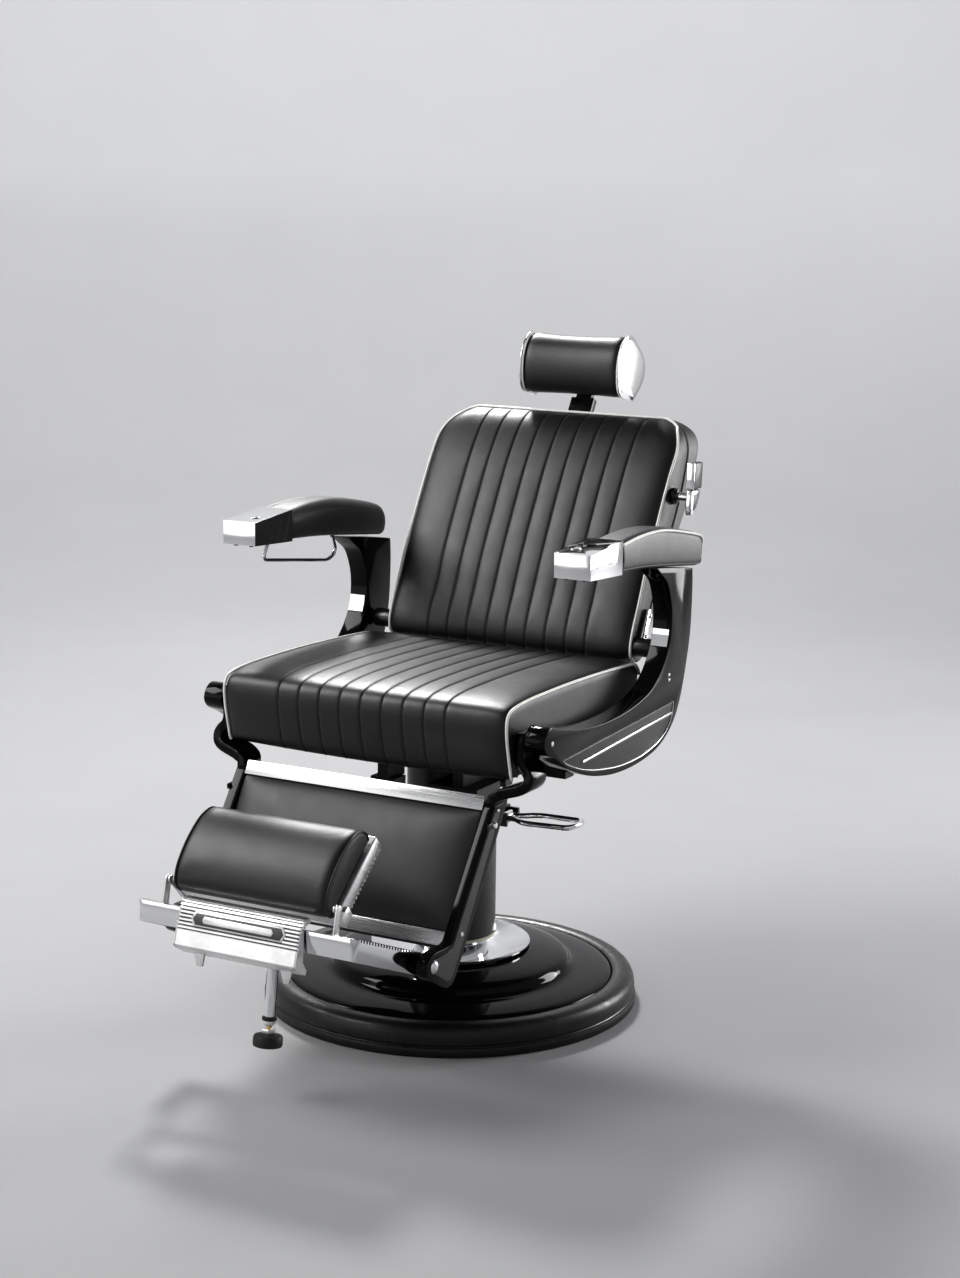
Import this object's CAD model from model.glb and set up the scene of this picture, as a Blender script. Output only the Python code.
"""Hydraulic barber chair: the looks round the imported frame.

Lengths are written in millimetres and turned to metres as a mesh is made. +Z is up, the sitter faces -Y
and the sitter's left hand is +X.
"""
import math

import bmesh
import bpy
from mathutils import Matrix, Vector


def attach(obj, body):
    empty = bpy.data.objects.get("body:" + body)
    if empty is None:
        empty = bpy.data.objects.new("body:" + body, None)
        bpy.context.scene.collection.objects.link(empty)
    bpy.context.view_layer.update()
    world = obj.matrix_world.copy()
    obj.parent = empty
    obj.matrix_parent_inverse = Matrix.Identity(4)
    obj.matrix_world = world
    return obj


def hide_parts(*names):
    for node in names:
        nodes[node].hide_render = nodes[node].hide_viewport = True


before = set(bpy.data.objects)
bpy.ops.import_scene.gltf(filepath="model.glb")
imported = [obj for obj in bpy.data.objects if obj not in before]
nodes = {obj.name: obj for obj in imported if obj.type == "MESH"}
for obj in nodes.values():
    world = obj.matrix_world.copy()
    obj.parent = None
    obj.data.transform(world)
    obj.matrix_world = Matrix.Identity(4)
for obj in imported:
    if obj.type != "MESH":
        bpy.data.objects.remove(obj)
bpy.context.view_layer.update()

MM = 0.001
SEAM_PITCH = 40.2     # channels on the seat and back
SEAMS = [SEAM_PITCH * k for k in range(-4, 5)]
SEAT_X = 274          # half widths of the seat, back, headrest pad and foot pad
BACK_X = 249
HEAD_X = 100
FOOT_X = 142
FRAME_IN, FRAME_OUT = 292, 329    # inner and outer side of the arm frames
PAD_IN, PAD_OUT = 288, 356        # of the arm pads
LEG_IN, LEG_OUT = 231, 250        # of the leg-rest arms
BACK_PIVOT = (212, 622)           # pivots along X, as (y, z)
LEG_PIVOT = (-258, 552)
FOOT_PIVOT = (-622, 346)
HEAD_PIVOT = (499, 1046)
LEVER_PIVOT = (352, 874)
BACK_TILT = 0.548     # lean of the back from upright, in radians
SIDES = (("left", 1), ("right", -1))


# ---- materials ------------------------------------------------------------------------------
class Shader:
    """A Principled material with short calls for the nodes that feed it."""

    def __init__(self, name, color, rough, metal=0.0, **sockets):
        self.mat = bpy.data.materials.new(name)
        self.mat.use_nodes = True
        self.tree = self.mat.node_tree
        self.bsdf = self.tree.nodes["Principled BSDF"]
        self.set(**{"Base Color": (*color, 1), "Roughness": rough, "Metallic": metal}, **sockets)
        self.coord = self.tree.nodes.new("ShaderNodeTexCoord").outputs["Object"]

    def set(self, **sockets):
        for key, value in sockets.items():
            self.bsdf.inputs[key.replace("_", " ")].default_value = value

    def node(self, kind, **inputs):
        made = self.tree.nodes.new("ShaderNode" + kind)
        for key, value in inputs.items():
            socket = made.inputs[key.replace("_", " ")]
            if isinstance(value, bpy.types.NodeSocket):
                self.tree.links.new(value, socket)
            else:
                socket.default_value = value
        return made

    def stretched(self, scale):
        return self.node("Mapping", Vector=self.coord, Scale=scale).outputs["Vector"]

    def noise(self, scale, detail=3.0, stretch=(1, 1, 1), rough=0.5):
        return self.node("TexNoise", Vector=self.stretched(stretch), Scale=scale, Detail=detail,
                         Roughness=rough).outputs["Fac"]

    def cells(self, scale, feature="F1"):
        made = self.node("TexVoronoi", Vector=self.stretched((1, 1, 1)), Scale=scale)
        made.feature = feature
        return made.outputs["Distance"]

    def ramp(self, fac, low, high, a, b):
        """fac from low to high becomes a to b, numbers or colours."""
        made = self.node("MapRange", Value=fac)
        for key, value in (("From Min", low), ("From Max", high)):
            made.inputs[key].default_value = value
        if isinstance(a, (int, float)):
            made.inputs["To Min"].default_value = a
            made.inputs["To Max"].default_value = b
            return made.outputs["Result"]
        mix = self.tree.nodes.new("ShaderNodeMix")
        mix.data_type = "RGBA"
        self.tree.links.new(made.outputs["Result"], mix.inputs[0])
        mix.inputs[6].default_value = (*a, 1)
        mix.inputs[7].default_value = (*b, 1)
        return mix.outputs[2]

    def feed(self, socket, value):
        self.tree.links.new(value, self.bsdf.inputs[socket])

    def bump(self, *layers):
        """Each layer is (height, strength, distance in metres)."""
        normal = None
        for height, strength, distance in layers:
            made = self.node("Bump", Height=height, Strength=strength, Distance=distance)
            if normal:
                self.tree.links.new(normal, made.inputs["Normal"])
            normal = made.outputs["Normal"]
        self.tree.links.new(normal, self.bsdf.inputs["Normal"])


def leather(name="leather", tone=0.006, rough=0.39):
    s = Shader(name, (tone, tone, tone * 1.06), rough, Specular_IOR_Level=0.55)
    pores = s.cells(1150)
    grain = s.noise(420, 4)
    creases = s.noise(26, 4, (1, 2.2, 2.2))
    s.feed("Base Color", s.ramp(s.noise(9, 3), 0.35, 0.68, (tone * 0.92,) * 3,
                                (tone * 1.1, tone * 1.08, tone * 1.16)))
    s.feed("Roughness", s.ramp(s.noise(34, 5), 0.3, 0.7, rough - 0.02, rough + 0.04))
    s.bump((creases, 0.025, 0.004), (grain, 0.16, 0.0009), (pores, 0.22, 0.0006))
    return s.mat


def piping_vinyl():
    s = Shader("piping_vinyl", (0.78, 0.77, 0.74), 0.34, Specular_IOR_Level=0.5)
    s.feed("Base Color", s.ramp(s.noise(60, 3), 0.3, 0.75, (0.70, 0.69, 0.65), (0.83, 0.82, 0.79)))
    s.bump((s.noise(900, 2), 0.15, 0.0004))
    return s.mat


def chrome(name="chrome", tone=0.83, rough=0.055):
    s = Shader(name, (tone, tone * 1.005, tone * 1.015), rough, 1.0)
    s.feed("Roughness", s.ramp(s.noise(55, 4), 0.3, 0.75, rough * 0.7, rough * 1.9))
    s.bump((s.noise(14, 2), 0.02, 0.002))
    return s.mat


def enamel(name="enamel", rough=0.09):
    s = Shader(name, (0.003, 0.003, 0.0035), rough, Specular_IOR_Level=0.16)
    s.feed("Roughness", s.ramp(s.noise(40, 4), 0.3, 0.75, rough * 0.8, rough * 1.5))
    s.bump((s.noise(22, 3), 0.03, 0.0015), (s.noise(600, 2), 0.02, 0.0003))
    return s.mat


def satin_paint(name, tone, rough):
    s = Shader(name, (tone,) * 3, rough, Specular_IOR_Level=0.5)
    s.feed("Roughness", s.ramp(s.noise(60, 4), 0.3, 0.7, rough - 0.05, rough + 0.06))
    s.bump((s.noise(1400, 2), 0.12, 0.0004), (s.noise(20, 2), 0.03, 0.001))
    return s.mat


def pebbled(name="pebbled_inlay", tone=0.03):
    s = Shader(name, (tone,) * 3, 0.42, Specular_IOR_Level=0.6)
    pebbles = s.cells(520, "SMOOTH_F1")
    s.feed("Base Color", s.ramp(pebbles, 0.1, 0.6, (tone * 1.5,) * 3, (tone * 0.6,) * 3))
    s.bump((pebbles, 0.75, 0.0012), (s.noise(1600, 2), 0.2, 0.0004))
    return s.mat


def rubber(name="rubber", tone=0.014, rough=0.55):
    s = Shader(name, (tone,) * 3, rough, Specular_IOR_Level=0.4)
    s.feed("Base Color", s.ramp(s.noise(30, 4), 0.3, 0.75, (tone * 0.8,) * 3, (tone * 1.6,) * 3))
    s.feed("Roughness", s.ramp(s.noise(70, 4), 0.3, 0.7, rough - 0.08, rough + 0.1))
    s.bump((s.noise(1100, 3), 0.25, 0.0004))
    return s.mat


def cast_alloy(name="cast_alloy", tone=0.78, rough=0.33):
    s = Shader(name, (tone, tone, tone * 1.01), rough, 1.0)
    s.feed("Base Color", s.ramp(s.noise(24, 4), 0.3, 0.75, (tone * 0.86,) * 3, (tone * 1.08,) * 3))
    s.feed("Roughness", s.ramp(s.noise(180, 4), 0.3, 0.7, rough - 0.06, rough + 0.12))
    s.bump((s.noise(700, 3), 0.07, 0.0004))
    return s.mat


def brushed(name="brushed_steel", tone=0.6, rough=0.24):
    s = Shader(name, (tone,) * 3, rough, 1.0)
    lines = s.noise(900, 3, (0.02, 1, 1))
    s.feed("Roughness", s.ramp(lines, 0.3, 0.7, rough - 0.06, rough + 0.1))
    s.bump((lines, 0.12, 0.0003))
    return s.mat


def brass():
    s = Shader("brass", (0.72, 0.56, 0.28), 0.28, 1.0)
    s.feed("Roughness", s.ramp(s.noise(200, 4), 0.3, 0.7, 0.2, 0.38))
    s.bump((s.noise(500, 2), 0.1, 0.0003))
    return s.mat


def plastic(name, color, rough):
    s = Shader(name, color, rough)
    s.feed("Roughness", s.ramp(s.noise(90, 4), 0.3, 0.7, rough - 0.05, rough + 0.08))
    s.bump((s.noise(800, 2), 0.1, 0.0003))
    return s.mat


def painted_board():
    s = Shader("stained_board", (0.02, 0.017, 0.015), 0.5)
    s.bump((s.noise(40, 5, (0.08, 1, 1)), 0.3, 0.0006))
    return s.mat


LEATHER = leather()
SEAM_THREAD = rubber("seam_thread", 0.002, 0.85)
LEATHER_SIDE = leather("leather_side", 0.013, 0.44)
LEATHER_ARM = leather("leather_arm", 0.045, 0.42)
PIPING = piping_vinyl()
CHROME = chrome()
CHROME_DISH = chrome("chrome_dish", 0.8, 0.09)
ENAMEL = enamel()
BASE_ENAMEL = enamel("base_enamel", 0.06)
COLUMN = satin_paint("column_satin", 0.03, 0.36)
BLACK_SATIN = satin_paint("black_satin", 0.009, 0.3)
PEBBLED = pebbled()
PEBBLED_FRAME = pebbled("pebbled_frame", 0.01)
RIM = rubber("rim_rubber", 0.009, 0.34)
RUBBER = rubber()
ALLOY = cast_alloy()
ALLOY_DARK = cast_alloy("alloy_recess", 0.12, 0.5)
BRUSHED = brushed()
BRASS = brass()
RING = plastic("off_white_plastic", (0.5, 0.47, 0.4), 0.45)
GRIP = plastic("grip_plastic", (0.01, 0.01, 0.011), 0.4)
DARK_PLASTIC = plastic("dark_plastic", (0.02, 0.02, 0.022), 0.4)
BOARD = painted_board()


# ---- mesh helpers -----------------------------------------------------------------------------
BOX_FACES = [(0, 1, 3, 2), (4, 6, 7, 5), (0, 4, 5, 1), (2, 3, 7, 6), (0, 2, 6, 4), (1, 5, 7, 3)]


def add_object(name, data):
    obj = bpy.data.objects.new(name, data)
    bpy.context.scene.collection.objects.link(obj)
    return obj


def place_mesh(name, verts, faces, material, smooth=38):
    mesh = bpy.data.meshes.new(name)
    mesh.from_pydata([Vector(v) * MM for v in verts], [], faces)
    bm = bmesh.new()
    bm.from_mesh(mesh)
    bmesh.ops.remove_doubles(bm, verts=bm.verts, dist=1e-6)
    bmesh.ops.recalc_face_normals(bm, faces=bm.faces)
    bm.to_mesh(mesh)
    bm.free()
    mesh.materials.append(material)
    obj = add_object(name, mesh)
    shade(obj, smooth)
    return obj


def shade(obj, angle=38):
    obj.data.shade_smooth()
    obj.data.set_sharp_from_angle(angle=math.radians(angle))


def settle(obj):
    """Applies every modifier on the object."""
    dg = bpy.context.evaluated_depsgraph_get()
    mesh = bpy.data.meshes.new_from_object(obj.evaluated_get(dg), depsgraph=dg)
    obj.modifiers.clear()
    obj.data = mesh
    return obj


def finish_edges(obj, width, segments=3, angle=30):
    bevel = obj.modifiers.new("edges", "BEVEL")
    bevel.width = width * MM
    bevel.segments = segments
    bevel.limit_method = "ANGLE"
    bevel.angle_limit = math.radians(angle)
    bevel.harden_normals = False
    settle(obj)
    shade(obj, 35)
    return obj


def declare(obj, body, slot, *replaced):
    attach(obj, body)
    if replaced:
        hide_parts(*replaced)
    return obj


def spline(points, step=6.0, closed=False):
    """Smooth path through the points, cut into equal steps."""
    pts = [Vector(p) for p in points]
    n = len(pts)
    dense = []
    for i in range(n if closed else n - 1):
        if closed:
            a, b, c, d = (pts[(i + k) % n] for k in (-1, 0, 1, 2))
        else:
            a, b, c, d = (pts[min(max(i + k, 0), n - 1)] for k in (-1, 0, 1, 2))
        for s in range(12):
            t = s / 12
            dense.append(0.5 * (2 * b + (c - a) * t + (2 * a - 5 * b + 4 * c - d) * t * t
                                + (3 * b - a - 3 * c + d) * t ** 3))
    if not closed:
        dense.append(pts[-1])
    else:
        dense.append(dense[0])
    total = sum((q - p).length for p, q in zip(dense, dense[1:]))
    count = max(2, round(total / step))
    path = [along(dense, i / count) for i in range(count + 1)]
    return path[:-1] if closed else path


def along(path, t):
    """The point at share t of the path's length."""
    lengths = [(q - p).length for p, q in zip(path, path[1:])]
    left = t * sum(lengths)
    for p, q, length in zip(path, path[1:], lengths):
        if left <= length:
            return p.lerp(q, left / length if length else 0)
        left -= length
    return path[-1].copy()


def arc(center, radius, start, end, steps=8):
    """Points on an arc, angles in degrees."""
    out = []
    for i in range(steps + 1):
        a = math.radians(start + (end - start) * i / steps)
        out.append((center[0] + radius * math.cos(a), center[1] + radius * math.sin(a)))
    return out


def prism_x(name, outline, x0, x1, material, edge=0.0, segments=3):
    """Side outline in (y, z) carried from x0 to x1, with eased edges."""
    n = len(outline)
    verts = [(x, p[0], p[1]) for x in (x0, x1) for p in outline]
    faces = [tuple(range(n)), tuple(range(2 * n - 1, n - 1, -1))]
    faces += [(i, (i + 1) % n, n + (i + 1) % n, n + i) for i in range(n)]
    obj = place_mesh(name, verts, faces, material)
    return finish_edges(obj, edge, segments) if edge else obj


def box(name, low, high, material, edge=1.0):
    verts = [(x, y, z) for x in (low[0], high[0]) for y in (low[1], high[1]) for z in (low[2], high[2])]
    return finish_edges(place_mesh(name, verts, BOX_FACES, material), edge, 2)


def side_box(name, sx, low, high, material, edge):
    """A box on one side of the chair; low and high are written for the sitter's left."""
    x0, x1 = sorted((sx * low[0], sx * high[0]))
    return box(name, (x0, *low[1:]), (x1, *high[1:]), material, edge)


def loft_faces(rows):
    """Faces of a four-cornered bar through that many rows of corners, closed at both ends."""
    faces = []
    for i in range(rows - 1):
        for k in range(4):
            m = (k + 1) % 4
            faces.append((4 * i + k, 4 * i + m, 4 * i + 4 + m, 4 * i + 4 + k))
    last = 4 * (rows - 1)
    return faces + [(0, 1, 2, 3), (last, last + 1, last + 2, last + 3)]


def lathe(name, profile, material, segments=96, closed=False, smooth=30, frame_matrix=None):
    """Turned piece about the vertical axis; the profile is (radius, z)."""
    verts = []
    faces = []
    n = len(profile)
    for j in range(segments):
        a = 2 * math.pi * j / segments
        verts += [(r * math.cos(a), r * math.sin(a), z) for r, z in profile]
    for j in range(segments):
        k = (j + 1) % segments
        for i in range(n if closed else n - 1):
            m = (i + 1) % n
            faces.append((j * n + i, k * n + i, k * n + m, j * n + m))
    if frame_matrix:
        verts = [frame_matrix @ Vector(v) for v in verts]
    return place_mesh(name, verts, faces, material, smooth)


def pin_x(name, center, profile, material, segments=32):
    """Turned piece about an axis along X; the profile is (radius, x)."""
    turn = Matrix.Translation((0, center[0], center[1])) @ Matrix(((0, 0, 1), (1, 0, 0), (0, 1, 0))).to_4x4()
    return lathe(name, profile, material, segments, frame_matrix=turn)


def turned_y(name, center, profile, material, segments=32):
    """Turned piece about an axis along Y; the profile is (radius, y)."""
    turn = Matrix.Translation((center[0], 0, center[1])) @ Matrix(((0, 1, 0), (0, 0, 1), (1, 0, 0))).to_4x4()
    return lathe(name, profile, material, segments, frame_matrix=turn)


def stud(name, center, sx, face, profile, material=CHROME, segments=24):
    """A turned head on a side face; the profile is (radius, height above the face)."""
    return pin_x(name, center, [(r, sx * (face + h)) for r, h in profile], material, segments)


def tube(name, points, radius, material, closed=False, sides=4):
    """Round cord along the points, as a mesh."""
    curve = bpy.data.curves.new(name, "CURVE")
    curve.dimensions = "3D"
    curve.bevel_depth = radius * MM
    curve.bevel_resolution = sides
    curve.use_fill_caps = True
    line = curve.splines.new("POLY")
    line.points.add(len(points) - 1)
    for slot, p in zip(line.points, points):
        slot.co = (*(Vector(p) * MM), 1)
    line.use_cyclic_u = closed
    curve.materials.append(material)
    obj = add_object(name, curve)
    dg = bpy.context.evaluated_depsgraph_get()
    mesh = bpy.data.meshes.new_from_object(obj.evaluated_get(dg), depsgraph=dg)
    bpy.data.objects.remove(obj)
    made = add_object(name, mesh)
    if not mesh.materials:
        mesh.materials.append(material)
    shade(made, 60)
    return made


def eased(points, radius, steps=6):
    """A path with its corners rounded."""
    pts = [Vector(p) for p in points]
    out = [pts[0]]
    for a, b, c in zip(pts, pts[1:], pts[2:]):
        r = min(radius, (a - b).length * 0.49, (c - b).length * 0.49)
        p = b + (a - b).normalized() * r
        q = b + (c - b).normalized() * r
        out += [p.lerp(b, t).lerp(b.lerp(q, t), t) for t in (i / steps for i in range(steps + 1))]
    return out + [pts[-1]]


def join(name, parts):
    """Several objects as one piece."""
    bm = bmesh.new()
    materials = []
    for part in parts:
        offset = {}
        for i, m in enumerate(part.data.materials):
            if m not in materials:
                materials.append(m)
            offset[i] = materials.index(m)
        start = len(bm.faces)
        bm.from_mesh(part.data)
        bm.faces.ensure_lookup_table()
        for face in bm.faces[start:]:
            face.material_index = offset.get(face.material_index, 0)
    mesh = bpy.data.meshes.new(name)
    bm.to_mesh(mesh)
    bm.free()
    for m in materials:
        mesh.materials.append(m)
    for part in parts:
        bpy.data.objects.remove(part)
    obj = add_object(name, mesh)
    return obj


def carve(obj, *cutters):
    for cutter in cutters:
        cut = obj.modifiers.new("cut", "BOOLEAN")
        cut.operation = "DIFFERENCE"
        cut.solver = "EXACT"
        cut.object = cutter
    settle(obj)
    for cutter in cutters:
        bpy.data.objects.remove(cutter)
    return obj


# ---- soft pieces --------------------------------------------------------------------------------
SEAM_LIP = 1.5       # from a seam to the edge of its crease
SEAM_REACH = 7.0     # from a seam to where the leather lies flat
SEAM_DEPTH = 1.9
AT_SEAM = 0.01       # a column this close to a seam is the seam
CHANNEL_CAP = 1.3    # furthest a point between seams moves when a cover fills out
PLAIN_CAP = 4        # the same on a cover without seams
SIM_FRAMES = 20
PIPE_OUT = 0.8       # how far piping stands off the corner it follows


def columns(half, seams=(), wide=9.0):
    """Positions across a cushion: even steps, with close ones beside every seam."""
    marks = [-half]
    for s in seams:
        marks += [s - SEAM_REACH, s - SEAM_LIP, s, s + SEAM_LIP, s + SEAM_REACH]
    marks.append(half)
    out = []
    for a, b in zip(marks, marks[1:]):
        count = max(1, round((b - a) / wide))
        out += [a + (b - a) * i / count for i in range(count)]
    return out + [half]


def seam_sink(x):
    """How far the leather dips beside a seam."""
    near = min(abs(x - s) for s in SEAMS)
    if near < AT_SEAM:
        return SEAM_DEPTH
    return 0.3 * max(0.0, 1 - near / SEAM_REACH)


def soft_shell(name, us, xs, ws, place, held, material, side_material=None):
    """Closed quad shell over a box.

    place(u, x, w) gives a point, and held(u, x, w) says whether the cloth is sewn down there.
    """
    index = {}
    verts = []
    pinned = []

    def vid(i, j, k):
        key = (i, j, k)
        if key not in index:
            index[key] = len(verts)
            verts.append(place(us[i], xs[j], ws[k]))
            if held(us[i], xs[j], ws[k]):
                pinned.append(index[key])
        return index[key]

    nu, nx, nw = len(us) - 1, len(xs) - 1, len(ws) - 1
    faces = []
    kinds = []
    for i in range(nu):
        for j in range(nx):
            for k in (0, nw):
                faces.append((vid(i, j, k), vid(i + 1, j, k), vid(i + 1, j + 1, k), vid(i, j + 1, k)))
                kinds.append(0)
    for i in range(nu):
        for k in range(nw):
            for j in (0, nx):
                faces.append((vid(i, j, k), vid(i + 1, j, k), vid(i + 1, j, k + 1), vid(i, j, k + 1)))
                kinds.append(1)
    for j in range(nx):
        for k in range(nw):
            for i in (0, nu):
                faces.append((vid(i, j, k), vid(i, j + 1, k), vid(i, j + 1, k + 1), vid(i, j, k + 1)))
                kinds.append(0)
    mesh = bpy.data.meshes.new(name)
    mesh.from_pydata([Vector(v) * MM for v in verts], [], faces)
    mesh.materials.append(material)
    if side_material:
        mesh.materials.append(side_material)
        for face, kind in zip(mesh.polygons, kinds):
            face.material_index = kind
    bm = bmesh.new()
    bm.from_mesh(mesh)
    bmesh.ops.recalc_face_normals(bm, faces=bm.faces)
    bm.to_mesh(mesh)
    bm.free()
    mesh.shade_smooth()
    obj = add_object(name, mesh)
    group = obj.vertex_groups.new(name="sewn")
    group.add(pinned, 1.0, "REPLACE")
    return obj


def puff(obj, cap, pressure):
    """Cloth under pressure fills the piece out between what is sewn down; no point moves more than cap."""
    rest = [v.co.copy() for v in obj.data.vertices]
    cloth = obj.modifiers.new("fill", "CLOTH")
    s = cloth.settings
    s.quality = 5
    s.mass = 0.3
    s.tension_stiffness = s.compression_stiffness = 15
    s.bending_stiffness = 0.5
    s.use_pressure = True
    s.uniform_pressure_force = pressure
    s.vertex_group_mass = "sewn"
    s.pin_stiffness = 1.0
    s.effector_weights.gravity = 0
    cloth.point_cache.frame_start = 1
    cloth.point_cache.frame_end = SIM_FRAMES
    scene = bpy.context.scene
    for f in range(1, SIM_FRAMES + 1):
        scene.frame_set(f)
    dg = bpy.context.evaluated_depsgraph_get()
    grown = [v.co.copy() for v in obj.evaluated_get(dg).data.vertices]
    obj.modifiers.remove(cloth)
    scene.frame_set(1)
    moves = [b - a for a, b in zip(rest, grown)]
    far = max(m.length for m in moves)
    share = min(1.0, cap * MM / far) if far else 0
    for v, a, m in zip(obj.data.vertices, rest, moves):
        v.co = a + m * share
    return obj


def refine(obj):
    sub = obj.modifiers.new("smooth", "SUBSURF")
    sub.levels = sub.render_levels = 1
    settle(obj)
    obj.data.shade_smooth()
    return obj


def cushion(name, us, xs, ws, place, held, cap, body, node, side=None, pressure=4.0, material=LEATHER):
    """A filled leather piece in the place of one CAD node; cap is in millimetres."""
    obj = soft_shell(name, us, xs, ws, place, held, material, side)
    puff(obj, cap, pressure)
    refine(obj)
    obj.vertex_groups.clear()
    declare(obj, body, "leather", node)


def steps(count):
    return [i / count for i in range(count + 1)]


def sewn_at(x):
    return any(abs(x - s) < AT_SEAM for s in SEAMS)


def at_side(x, half):
    return abs(x) > half - 0.1


def even(half, count):
    """Even positions across a cushion."""
    return [half * (-1 + 2 * i / count) for i in range(count + 1)]


def end_share(u):
    """Fades a seam or an edge out at both ends of a cushion."""
    return min(1.0, min(u, 1 - u) / 0.03)


def side_fall(x, half, reach, depth):
    """How far a face falls away near a side edge: a quarter ellipse, depth at the edge itself."""
    t = max(0.0, (abs(x) - (half - reach)) / reach)
    return depth * (1 - math.sqrt(max(0.0, 1 - t * t)))


def piping(name, points, body, radius):
    obj = tube(name, points, radius, PIPING, sides=3)
    return declare(obj, body, "column_trim")


# ---- base -----------------------------------------------------------------------------------------
def build_base():
    rim = lathe("floor_ring", [
        (307, 1), (326, 0), (329, 1.5), (330, 4), (330, 13), (329, 16), (326.5, 17.5), (325.5, 19),
        (326.5, 20.5),
        (328, 22), (328, 28), (327, 38), (324, 46), (319, 51), (311, 54), (300, 55), (292, 53),
        (288.5, 50.5),
        (288.5, 46), (300, 40), (307, 30), (307, 1)], RIM, 160, smooth=25)
    declare(rim, "base", "base_rim", "base_rim")
    top = [(138, 88), (138, 94), (150, 92.5), (176, 88.5), (196, 84), (205, 80), (210, 74), (213, 68.5),
           (218, 64.5),
           (226, 62.2), (250, 59.5), (272, 56), (281, 53.5), (286, 50.5), (287.5, 46), (286, 42), (281, 42)]
    inner = [(278, 46), (224, 57), (210, 62), (204, 72), (196, 78), (150, 87)]
    cover = lathe("stepped_cover", smooth_profile(top) + inner, BASE_ENAMEL, 192, closed=True, smooth=30)
    declare(cover, "base", "base_cover", "base_cover")
    dish_top = [(67, 79), (76, 79.5), (92, 83.5), (116, 93), (134, 101.2), (138.5, 103.4), (140.6, 103.6),
                (141, 101.6), (140.4, 99.4)]
    dish = lathe("dish", smooth_profile(dish_top) + [(130, 95.5), (80, 75), (67, 74.5)], CHROME_DISH, 160,
                 closed=True)
    declare(dish, "base", "chrome", "dish_cover")
    pump = lathe("pump_cylinder_skin", [
        (31, 53), (65.4, 53), (66, 54), (66, 84), (66, 328), (64, 330), (31, 330), (31, 53)], CHROME, 96,
        smooth=30)
    declare(pump, "base", "chrome", "pump_cylinder")


def smooth_profile(points, step=3.0):
    """A smooth profile for a turned piece through (radius, z) points."""
    return [(p.x, p.y) for p in spline([(r, z, 0) for r, z in points], step)]


# ---- lift -----------------------------------------------------------------------------------------
def build_lift():
    cover = lathe("column_sleeve", [
        (73.4, 121.2), (78.2, 121.2), (79, 122.4), (79, 180), (79, 424), (77.5, 427.6), (31, 428), (31, 421),
        (73.4, 420), (73.4, 121.2)], COLUMN, 96, smooth=30)
    declare(cover, "lift", "column_cover", "column_cover")
    ring = lathe("column_ring", [
        (69.2, 115.2), (78.6, 115.2), (80, 116.2), (80.2, 118), (80, 119.8), (78.6, 120.5), (69.2, 120.5),
        (69.2, 115.2)],
        RING, 96, smooth=40)
    declare(ring, "lift", "column_trim", "column_trim_ring")
    collar = lathe("column_flare", [
        (67.2, 104), (68.6, 104), (69.4, 106), (71.4, 109.5), (74.6, 112.4), (77.8, 114.4), (77.4, 114.8),
        (67.2, 114.8),
        (67.2, 104)], CHROME, 96, smooth=40)
    declare(collar, "lift", "chrome", "column_collar")
    loop = eased([(112, -11, 342), (131, -11, 343), (158, -32, 344), (246, -30, 347), (251, -2, 347.5),
                  (246, 26, 347),
                  (158, 30, 344), (131, 11, 343), (112, 11, 342)], 17)
    lever = join("pump_pedal_loop", [
        tube("loop_rod", loop, 5, CHROME, sides=5),
        turned_y("loop_hub", (110, 342), [(0, -18.4), (8.6, -18.4), (9.4, -17.6), (9.4, 17.6),
                                          (8.6, 18.4), (0, 18.4)],
                 CHROME)])
    shade(lever, 40)
    declare(lever, "pump_pedal", "chrome", "pump_lever")


# ---- seat -----------------------------------------------------------------------------------------
SEAT_OUTER = [(-284, 490), (-294, 502), (-302, 530), (-308, 560), (-309, 586), (-301, 603), (-282, 611.5),
              (-240, 616), (-186, 617.5), (-79, 617.5), (33, 614.5), (110, 611), (150, 608.5),
              (170, 603.5), (178.5, 592), (180, 580)]
SEAT_INNER = [(-265, 490), (-259, 501), (-240, 501), (-150, 501), (-50, 501), (50, 501), (120, 502),
              (150, 508), (168, 532), (174, 566)]


def flat_path(points, step=4.0):
    """A smooth side profile through (y, z) points."""
    return spline([(0, y, z) for y, z in points], step)


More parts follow.
